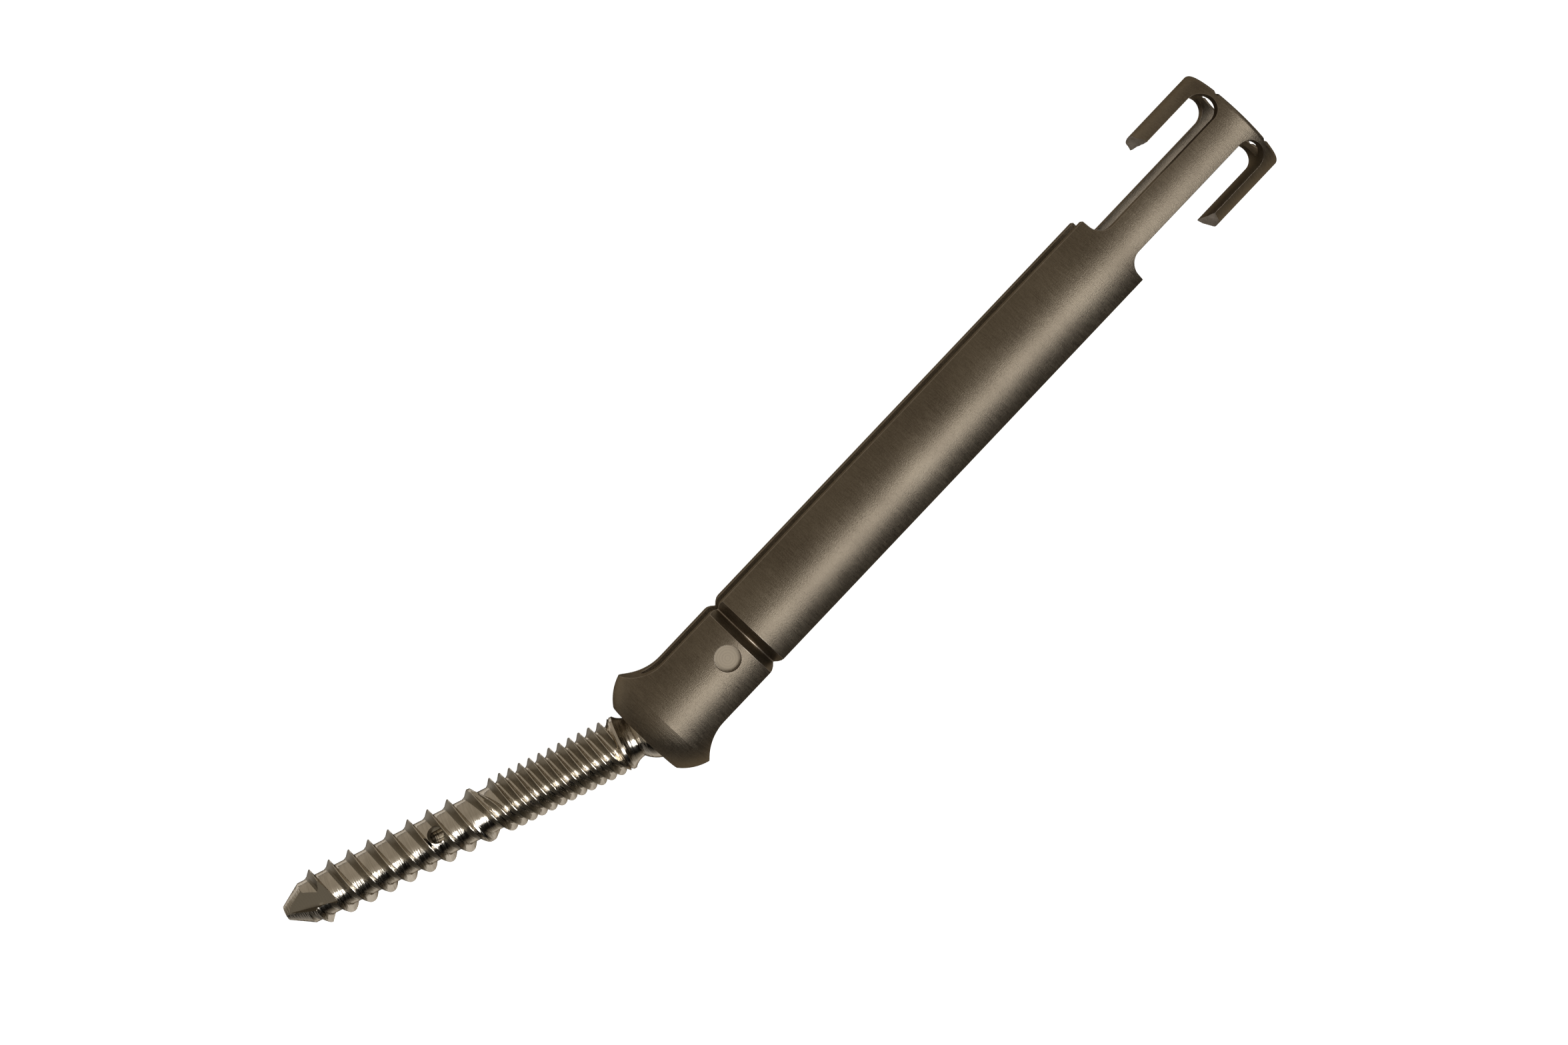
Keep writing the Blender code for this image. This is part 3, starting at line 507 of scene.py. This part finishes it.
def thread_points():
    """One coarse pitch of the thread in three states, as (from the main crest, radius).

    Coarse has one crest. Wide has that crest broadened towards the head. Fine has two
    crests, the second half a coarse pitch on. All three have the same number of points.
    """
    height = CREST_RADIUS - ROOT_RADIUS
    fine_pitch = THREAD_LEAD / COARSE_STARTS / 2
    main = ridge(0.0, DISTAL_FLANK, PROXIMAL_FLANK, COARSE_FILLET, height)
    count = len(main)
    coarse = main + [
        (main[-1][0] + RESTING_RUN * (i + 1) / count, ROOT_RADIUS) for i in range(count)
    ]
    wide = main[: count // 2] + [
        (WIDE_CREST * i / WIDE_CREST_STEPS, CREST_RADIUS) for i in range(WIDE_CREST_STEPS + 1)
    ]
    steps = 2 * count - len(wide)
    wide += [
        (WIDE_CREST + WIDE_FLANK * i / steps, CREST_RADIUS - height * share(i, 0, steps))
        for i in range(1, steps + 1)
    ]
    fine = ridge(0.0, FINE_FLANK, PROXIMAL_FLANK, FINE_FILLET, height)
    fine += ridge(fine_pitch, FINE_FLANK, PROXIMAL_FLANK, FINE_FILLET, height)
    fine = [(along + FINE_SHIFT, radius) for along, radius in fine]
    return coarse, wide, fine


def share(value, start, end):
    """How far a value has come between two others, eased at both ends."""
    part = min(1.0, max(0.0, (value - start) / (end - start)))
    return part * part * (3.0 - 2.0 * part)


def threaded_rod(low, high):
    """Rod with the whole bone thread, cut square at both ends, with heights from the ball."""
    pitch = THREAD_LEAD / COARSE_STARTS
    coarse, wide, fine = thread_points()
    bm = bmesh.new()
    point_layer = bm.verts.layers.int.new("point")
    first = math.floor((low - THREAD_LEAD - FIRST_CREST) / pitch) - 1
    last = math.ceil((high - FIRST_CREST) / pitch) + 1
    verts = []
    for turn in range(first, last + 1):
        for index, (along, radius) in enumerate(coarse):
            vert = bm.verts.new((radius, 0.0, FIRST_CREST + turn * pitch + along))
            vert[point_layer] = index
            verts.append(vert)
    edges = [bm.edges.new(pair) for pair in zip(verts, verts[1:])]
    bmesh.ops.spin(
        bm, geom=verts + edges, cent=(0, 0, 0), axis=(0, 0, 1), angle=math.tau,
        dvec=(0.0, 0.0, THREAD_LEAD / SHANK_STEPS), steps=SHANK_STEPS,
    )
    bmesh.ops.remove_doubles(bm, verts=bm.verts, dist=MERGE_DISTANCE)
    for vert in bm.verts:
        index = vert[point_layer]
        crest_height = vert.co.z - coarse[index][0]
        widened = share(crest_height, WIDENING_FROM, WIDENING_TO)
        split = share(crest_height, WIDENING_TO, SPLIT_TO)
        point = Vector(coarse[index]).lerp(Vector(wide[index]), widened)
        point += split * (Vector(fine[index]) - Vector(wide[index]))
        angle = math.atan2(vert.co.y, vert.co.x)
        vert.co = (point.y * math.cos(angle), point.y * math.sin(angle), crest_height + point.x)
    # The ridges' distal flanks get the milled finish: rougher than the turned root, and darker
    # in colour as painted shade
    bmesh.ops.recalc_face_normals(bm, faces=bm.faces)
    foot = ROOT_RADIUS + COARSE_FILLET / 4
    for face in bm.faces:
        if face.normal.z < -SHADED_FLANK_FACING and face.calc_center_median().xy.length > foot:
            face.material_index = MILLED_AND_FLANK_SHADE
    for height, outward in ((low, -1.0), (high, 1.0)):
        everything = list(bm.verts) + list(bm.edges) + list(bm.faces)
        cut = bmesh.ops.bisect_plane(
            bm, geom=everything, dist=MERGE_DISTANCE / 10, plane_co=(0.0, 0.0, height),
            plane_no=(0.0, 0.0, outward), clear_outer=True,
        )["geom_cut"]
        loop = [item for item in cut if isinstance(item, bmesh.types.BMEdge)]
        bmesh.ops.edgeloop_fill(bm, edges=loop)
    bmesh.ops.rotate(bm, verts=bm.verts, matrix=Matrix.Rotation(THREAD_TURN, 3, "Z"))
    bmesh.ops.translate(bm, verts=bm.verts, vec=(0.0, 0.0, -SHANK_LENGTH))
    return to_object(bm, "titanium_shank")


def collar_top():
    """Height, from the ball's centre, at which the collar meets the neck's fillet."""
    across = NECK_RADIUS + NECK_FILLET
    return -NECK_BELOW_BALL - math.sqrt(NECK_FILLET**2 - (across - COLLAR_RADIUS) ** 2)


def head_shape():
    """Collar, neck and ball, with heights from the ball's centre."""
    across, height = NECK_RADIUS + NECK_FILLET, -NECK_BELOW_BALL
    top = collar_top()
    reach = math.hypot(across, height)
    spread = (BALL_RADIUS**2 + reach**2 - NECK_FILLET**2) / (2 * BALL_RADIUS * reach)
    ball_start = math.atan2(across, -height) - math.acos(spread) - math.pi / 2
    joint_radius = BALL_RADIUS * math.cos(ball_start)
    joint_height = BALL_RADIUS * math.sin(ball_start)
    to_collar = math.atan2(top - height, COLLAR_RADIUS - across) % math.tau
    to_ball = math.atan2(joint_height - height, joint_radius - across) % math.tau
    outline = [
        (0.0, top - COLLAR_LENGTH - OVERCUT),
        (COLLAR_CORE, top - COLLAR_LENGTH - OVERCUT),
        (COLLAR_CORE, top - COLLAR_LENGTH),
        (ROOT_RADIUS, top - COLLAR_LENGTH + COLLAR_CHAMFER / 4),
        (COLLAR_RADIUS - COLLAR_CHAMFER / 6, top - COLLAR_LENGTH + COLLAR_CHAMFER),
        (COLLAR_RADIUS, top - COLLAR_LENGTH + COLLAR_CHAMFER * 1.2),
    ]
    outline += arc((across, height), NECK_FILLET, to_collar, to_ball)
    ball_end = math.asin(BALL_TOP / BALL_RADIUS)
    outline += arc((0.0, 0.0), BALL_RADIUS, ball_start, ball_end)[1:]
    outline.append((0.0, BALL_TOP))
    return lathe("head", outline, HOLE_STEPS)


def drive_socket():
    """Six-lobed driver socket in the top of the ball."""
    bm = bmesh.new()
    bottom = BALL_TOP - DRIVE_DEPTH
    made = bmesh.ops.create_circle(
        bm, cap_ends=True, segments=DRIVE_LOBES * LOBE_STEPS, radius=1.0
    )["verts"]
    for vert in made:
        angle = math.atan2(vert.co.y, vert.co.x)
        radius = DRIVE_RADIUS + DRIVE_LOBE * math.cos(DRIVE_LOBES * angle)
        vert.co = Vector((radius * math.cos(angle), radius * math.sin(angle), bottom))
    upper = extrude(bm, list(bm.faces))
    bmesh.ops.translate(bm, verts=upper, vec=(0.0, 0.0, DRIVE_DEPTH + OVERCUT))
    bmesh.ops.rotate(bm, verts=bm.verts, matrix=Matrix.Rotation(DRIVE_TURN, 3, "Z"))
    return to_object(bm, "drive")


def flute(index):
    """Skewed V cut that gives the tip one of its cutting edges."""
    reach = CREST_RADIUS * 2
    start = Vector((TIP_RADIUS + FLUTE_FROM * math.tan(TIP_HALF_ANGLE), 0.0, FLUTE_FROM))
    end = Vector((ROOT_RADIUS, 0.0, FLUTE_TO))
    run = (end - start) * FLUTE_STRETCH
    start = start - run * FLUTE_LEAD_IN
    sides = (
        Vector((math.cos(FLUTE_STEEP_SIDE), math.sin(FLUTE_STEEP_SIDE), 0.0)),
        Vector((math.cos(FLUTE_GENTLE_SIDE), -math.sin(FLUTE_GENTLE_SIDE), 0.0)),
    )
    bm = bmesh.new()
    corners = [bm.verts.new(start)] + [bm.verts.new(start + reach * side) for side in sides]
    bmesh.ops.translate(bm, verts=extrude(bm, [bm.faces.new(corners)]), vec=run)
    middle = Matrix.Translation((0.0, 0.0, -FLUTE_FROM))
    skew = Matrix.Rotation(FLUTE_SKEW, 4, "X")
    place = Matrix.Translation((0.0, 0.0, FLUTE_FROM - SHANK_LENGTH))
    turn = Matrix.Rotation(FLUTE_TURN + math.tau * index / FLUTES, 4, "Z")
    bmesh.ops.transform(bm, verts=bm.verts, matrix=turn @ place @ skew @ middle)
    return to_object(bm, "flute", MILLED_AND_FLANK_SHADE)


def make_shank():
    """Screw shank with its two-start coarse thread, four-start fine thread and ball head."""
    thread_top = SHANK_LENGTH + collar_top() - COLLAR_LENGTH / 2
    shank = threaded_rod(-OVERCUT, thread_top)
    outside = CREST_RADIUS + OVERCUT
    cone_top = (outside - TIP_RADIUS) / math.tan(TIP_HALF_ANGLE)
    tip = [(0.0, 0.0), (TIP_RADIUS, 0.0), (outside, cone_top)]
    tip += [(outside, SHANK_LENGTH), (0.0, SHANK_LENGTH)]
    tip = [(radius, height - SHANK_LENGTH) for radius, height in tip]
    combine(shank, lathe("tip", tip, HOLE_STEPS), "INTERSECT")
    combine(shank, head_shape(), "UNION")
    for index in range(FLUTES):
        combine(shank, flute(index))
    across = Matrix.Rotation(SIDE_HOLE_TURN, 4, "Z") @ Matrix.Translation(
        (0.0, 0.0, SIDE_HOLE_FROM_TIP - SHANK_LENGTH)
    ) @ Matrix.Rotation(math.pi / 2, 4, "Y")
    combine(shank, cylinder("side_hole", SIDE_HOLE_RADIUS, 0.0, outside, across, MILLED_AND_FLANK_SHADE))
    combine(shank, drive_socket())
    straight = Matrix.Identity(4)
    combine(shank, cylinder("cannula", CANNULA_RADIUS, -SHANK_LENGTH - OVERCUT, 0.0, straight))
    return shank


def finish_piece(obj, place, crisp, eased):
    """Put a piece in its place, smooth its shading and ease its sharp edges, if it has any.

    An edge is crisp from the angle that crisp gives for its place, in radians. Edges of
    broken faces are never eased.
    """
    bm = bmesh.new()
    bm.from_mesh(obj.data)
    bmesh.ops.remove_doubles(bm, verts=bm.verts, dist=SLIVER_DISTANCE)
    bmesh.ops.recalc_face_normals(bm, faces=bm.faces)
    weight = bm.edges.layers.float.new("bevel_weight_edge")
    for edge in bm.edges:
        if len(edge.link_faces) != 2:
            continue
        angle = edge.calc_face_angle(0.0)
        edge.smooth = angle < crisp(sum((vert.co for vert in edge.verts), Vector()) / 2)
        broken = any(face.material_index == BROKEN for face in edge.link_faces)
        if eased and angle > EASED_FROM and not broken:
            edge[weight] = 1.0
    for face in bm.faces:
        face.smooth = True
    bmesh.ops.transform(bm, matrix=place, verts=bm.verts)
    bm.to_mesh(obj.data)
    bm.free()
    if eased:
        modifier = obj.modifiers.new("eased edges", "BEVEL")
        modifier.width = EASED_WIDTH
        modifier.segments = EASED_STEPS
        modifier.limit_method = "WEIGHT"
        modifier.use_clamp_overlap = False
        modifier.harden_normals = True
        # Eased edges take the pale worn-edge material: edge wear, together with a painted
        # highlight along them
        modifier.material = WORN_AND_HIGHLIGHT
    modifier = obj.modifiers.new("even shading", "WEIGHTED_NORMAL")
    modifier.keep_sharp = True


def crisp_on_tower(_):
    """All of the tower's edges are crisp from the same angle."""
    return CRISP_ON_TOWER


def crisp_on_shank(point):
    """Flute edges near the tip are crisp from a smaller angle than the thread's feet."""
    near_tip = point.z < FLUTE_TO * FLUTE_STRETCH - SHANK_LENGTH
    return CRISP_NEAR_TIP if near_tip else CRISP_ON_THREAD


def metal(name):
    """Start a metal. Return it with its node tree, shader and Object coordinates."""
    material = bpy.data.materials.new(name)
    material.use_nodes = True
    tree = material.node_tree
    shader = tree.nodes["Principled BSDF"]
    shader.inputs["Metallic"].default_value = 1.0
    return material, tree, shader, add(tree, "ShaderNodeTexCoord").outputs["Object"]


def add_noise(tree, vector, scale, detail):
    noise_inputs = {"Vector": vector, "Scale": scale, "Detail": detail}
    return add(tree, "ShaderNodeTexNoise", noise_inputs).outputs[0]


def add_sum(tree, first, second):
    return add(tree, "ShaderNodeMath", {0: first, 1: second}, operation="ADD").outputs[0]


def add_range(tree, value, start, end, to_start=0.0, to_end=1.0):
    """Carry a value from one range over to another, and hold it within that."""
    return add(tree, "ShaderNodeMapRange", {
        "Value": value, "From Min": start, "From Max": end,
        "To Min": to_start, "To Max": to_end,
    }).outputs[0]


def colour_by(tree, shader, factor, dark, light):
    """Run the shader's colour from dark to light with a factor."""
    ramp = add(tree, "ShaderNodeValToRGB", {"Fac": factor})
    ramp.color_ramp.elements[0].color = linear(dark)
    ramp.color_ramp.elements[1].color = linear(light)
    tree.links.new(ramp.outputs[0], shader.inputs["Base Color"])


def bump_by(tree, shader, height, strength, distance):
    """Give the shader a bump from a height between 0 and 1, at a strength and a depth."""
    bump_inputs = {"Height": height, "Strength": strength, "Distance": distance}
    bump = add(tree, "ShaderNodeBump", bump_inputs)
    tree.links.new(bump.outputs[0], shader.inputs["Normal"])


def blasted_titanium(name, dark, light, roughness):
    """Turned, blasted and anodised titanium.

    It looks matte and warm grey, with faint turning lines that catch the light and a
    slightly cloudy tone.
    """
    material, tree, shader, coordinates = metal(name)
    # Fine lines across the tower's axis. Grain and cloud are the blasting and the anodising
    line_scale = (1 / (0.08 * MM), 1 / (1.4 * MM), 1 / (1.4 * MM))
    stretched = add(tree, "ShaderNodeMapping", {"Vector": coordinates, "Scale": line_scale})
    lines = add_noise(tree, stretched.outputs[0], 1.0, 3.0)
    grain = add_noise(tree, coordinates, 1 / (0.12 * MM), 2.0)
    cloud = add_noise(tree, coordinates, 1 / (9.0 * MM), 4.0)
    mixed = add_sum(tree, lines, grain)
    tone = add_range(tree, add_sum(tree, mixed, cloud), 1.05, 1.95)
    colour_by(tree, shader, tone, dark, light)
    rough = add_range(tree, mixed, 0.7, 1.3, roughness - 0.06, roughness + 0.08)
    tree.links.new(rough, shader.inputs["Roughness"])
    bump_by(tree, shader, mixed, 0.8, 0.03 * MM)
    shader.inputs["Specular Tint"].default_value = linear("#b4aa9c")
    return material


def torn_titanium():
    """Torn titanium where a tab snapped off: dull grey and grainy, pale on its high grains."""
    material, tree, shader, coordinates = metal("torn titanium")
    # Real grains are a few hundredths of a millimetre: drawn coarser so that they show
    grain = add_noise(tree, coordinates, 1 / (0.25 * MM), 4.0)
    colour_by(tree, shader, add_range(tree, grain, 0.35, 0.65), "#d6ccc0", "#f0e8dd")
    bump_by(tree, shader, grain, 0.5, 0.03 * MM)
    shader.inputs["Roughness"].default_value = 0.5
    return material


def milled_titanium(name, dark, light, middle, relief):
    """Titanium cut after turning: even and satin, with faint end-mill rings round a middle."""
    material, tree, shader, coordinates = metal(name)
    # A wave's period is 0.314 of its unit: rings 0.3 mm apart
    unit = 0.3 * MM / 0.314
    centred = add(tree, "ShaderNodeMapping", {
        "Vector": coordinates, "Location": middle, "Scale": (unit,) * 3,
    }, vector_type="TEXTURE")
    rings = add(tree, "ShaderNodeTexWave", {
        "Vector": centred.outputs[0], "Scale": 1.0, "Distortion": 1.5, "Detail": 2.0,
    }, wave_type="RINGS", rings_direction="Z").outputs["Fac"]
    colour_by(tree, shader, rings, dark, light)
    bump_by(tree, shader, rings, relief, 0.01 * MM)
    shader.inputs["Roughness"].default_value = 0.38
    return material


def machined_titanium(name, dark, light, roughness, place):
    """Bare turned titanium: warm and shiny, with fine tool lines round the axis of a place."""
    material, tree, shader, coordinates = metal(name)
    upright = add(tree, "ShaderNodeMapping", {
        "Vector": coordinates, "Rotation": place.to_euler(), "Location": place.translation,
    }, vector_type="TEXTURE").outputs[0]
    line_scale = (1 / (2.2 * MM), 1 / (2.2 * MM), 1 / (0.2 * MM))
    stretched = add(tree, "ShaderNodeMapping", {"Vector": upright, "Scale": line_scale})
    lines = add_noise(tree, stretched.outputs[0], 1.0, 2.0)
    cloud = add_noise(tree, coordinates, 1 / (2.5 * MM), 4.0)
    tone = add_range(tree, add_sum(tree, lines, cloud), 0.7, 1.3)
    colour_by(tree, shader, tone, dark, light)
    rough = add_range(tree, lines, 0.3, 0.7, roughness - 0.05, roughness + 0.08)
    tree.links.new(rough, shader.inputs["Roughness"])
    bump_by(tree, shader, lines, 1.0, 0.05 * MM)
    shader.inputs["Specular Tint"].default_value = linear("#9a9287")
    return material


def make_camera():
    """Camera with the photograph's view."""
    turns = Matrix.Rotation(CAMERA_TURNS[2], 3, "Z")
    turns = turns @ Matrix.Rotation(CAMERA_TURNS[1], 3, "Y")
    turns = turns @ Matrix.Rotation(CAMERA_TURNS[0], 3, "X")
    facing = turns.transposed()
    aim = TOWER_PLACE @ Vector((0.0, 0.0, AIM_ALONG_TOWER))
    data = bpy.data.cameras.new("camera")
    data.sensor_width = SENSOR_WIDTH
    data.lens = PIXELS_PER_METRE * CAMERA_OFFSET[2] / IMAGE_WIDTH * SENSOR_WIDTH
    data.clip_start = CLIP_START
    camera = bpy.data.objects.new("camera", data)
    bpy.context.collection.objects.link(camera)
    stand = Matrix.Translation(aim + facing @ Vector(CAMERA_OFFSET))
    camera.matrix_world = stand @ facing.to_4x4()
    bpy.context.scene.camera = camera


def make_floor():
    """Back-lit white table, which shows hardly any shadow.

    Metals don't mirror it. The lower half of the room stands in for it there.
    """
    bm = bmesh.new()
    bmesh.ops.create_grid(bm, x_segments=1, y_segments=1, size=TABLE_SIZE / 2)
    floor = to_object(bm, "table")
    material = bpy.data.materials.new("back-lit white acrylic")
    material.use_nodes = True
    shader = material.node_tree.nodes["Principled BSDF"]
    shader.inputs["Base Color"].default_value = linear("#c8c8c8")
    shader.inputs["Roughness"].default_value = 0.9
    shader.inputs["Specular IOR Level"].default_value = 0.1
    shader.inputs["Emission Color"].default_value = linear("#ffffff")
    shader.inputs["Emission Strength"].default_value = TABLE_GLOW
    floor.data.materials[SKIN] = material
    floor.visible_glossy = False


def make_softbox():
    """Long softbox over the near side, aimed at the part."""
    data = bpy.data.lights.new("softbox", "AREA")
    data.shape = "RECTANGLE"
    data.size, data.size_y = SOFTBOX_SIZE
    data.energy = SOFTBOX_POWER
    data.color = linear(SOFTBOX_COLOUR)[:3]
    light = bpy.data.objects.new("softbox", data)
    light.location = SOFTBOX_PLACE
    toward = Vector() - Vector(SOFTBOX_PLACE)
    light.rotation_euler = toward.to_track_quat("-Z", "Y").to_euler()
    bpy.context.collection.objects.link(light)


def make_room():
    """Dim warm room, which the metals mirror.

    It is darkest on the near side, beyond the softbox, and dark straight under the part. Low
    down it is bright on the near and far sides.
    """
    world = bpy.data.worlds.new("studio")
    world.use_nodes = True
    tree = world.node_tree
    toward = add(tree, "ShaderNodeSeparateXYZ", {
        0: add(tree, "ShaderNodeTexCoord").outputs["Generated"],
    }).outputs
    near_side = add(tree, "ShaderNodeMath", {0: toward["Y"], 1: -1.0}, operation="MULTIPLY")
    from_zenith = add(
        tree, "ShaderNodeMath", {0: near_side.outputs[0], 1: toward["Z"]}, operation="ARCTAN2"
    )
    place = add_range(tree, from_zenith.outputs[0], -math.pi, math.pi)
    room = add(tree, "ShaderNodeValToRGB", {"Fac": place})
    stops = room.color_ramp.elements
    for degrees, colour in ROOM_BY_ANGLE:
        stops.new((degrees + 180) / 360).color = linear(colour)
    stops.remove(stops[0])
    stops.remove(stops[len(stops) - 1])
    # The end wall past the tip is dark near the height of the table
    height = add(tree, "ShaderNodeMath", {0: toward["Z"], 1: 0.0}, operation="MAXIMUM")
    away = add_sum(tree, toward["X"], height.outputs[0])
    end_wall = add_range(tree, away, END_WALL_DARKEST, END_WALL_END, END_WALL_TONE, 1.0)
    dimmed = add(
        tree, "ShaderNodeVectorMath", {0: room.outputs[0], "Scale": end_wall}, operation="SCALE"
    )
    tree.links.new(dimmed.outputs[0], tree.nodes["Background"].inputs["Color"])
    bpy.context.scene.world = world


def main():
    tower = make_tower()
    finish_piece(tower, TOWER_PLACE, crisp_on_tower, eased=True)
    shank = make_shank()
    finish_piece(shank, SHANK_PLACE, crisp_on_shank, eased=False)
    bronze = blasted_titanium("blasted bronze titanium", "#70675b", "#9a9081", 0.42)
    bare = machined_titanium("machined titanium", "#d9d3c8", "#f3ede3", 0.14, SHANK_PLACE)
    inner = machined_titanium("satin titanium", "#8d8474", "#a89f8c", 0.3, TOWER_PLACE)
    # Pale: edge wear, together with a painted highlight on the eased edges and the groove's root
    wear_and_highlight = machined_titanium("edge wear and painted highlight titanium", "#a59b8f", "#c2b8ac", 0.35, TOWER_PLACE)
    torn = torn_titanium()
    middle = TOWER_PLACE @ Vector((0.0, 0.0, DIMPLE_CENTRE))
    dimple = milled_titanium("milled bronze titanium", "#898073", "#908779", middle, 0.06)
    tip = SHANK_PLACE @ Vector((0.0, 0.0, -SHANK_LENGTH))
    # Darker than the bare shank: painted shade on the thread's distal flanks, and the milled
    # finish of the flutes and the side hole
    cut = milled_titanium("milled titanium and painted flank shade", "#948e82", "#979185", tip, 0.01)
    for piece, skin, milled in ((tower, bronze, dimple), (shank, bare, cut)):
        piece.data.materials[SKIN] = skin
        piece.data.materials[BROKEN] = torn
        piece.data.materials[MILLED_AND_FLANK_SHADE] = milled
        piece.data.materials[WORN_AND_HIGHLIGHT] = wear_and_highlight
    for name in ("pressure_saddle", "retaining_ring"):
        for slot in frame["nodes"][name].material_slots:
            slot.material = inner
    for piece, body, node, slot in (
        (tower, "tower", "tulip_tower", "bronze_titanium"),
        (shank, "shank", "bone_screw_shank", "bare_titanium"),
    ):
        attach(piece, body)
        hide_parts(node)
    make_camera()
    make_floor()
    make_room()
    make_softbox()
    bpy.context.scene.view_settings.view_transform = "Standard"


main()
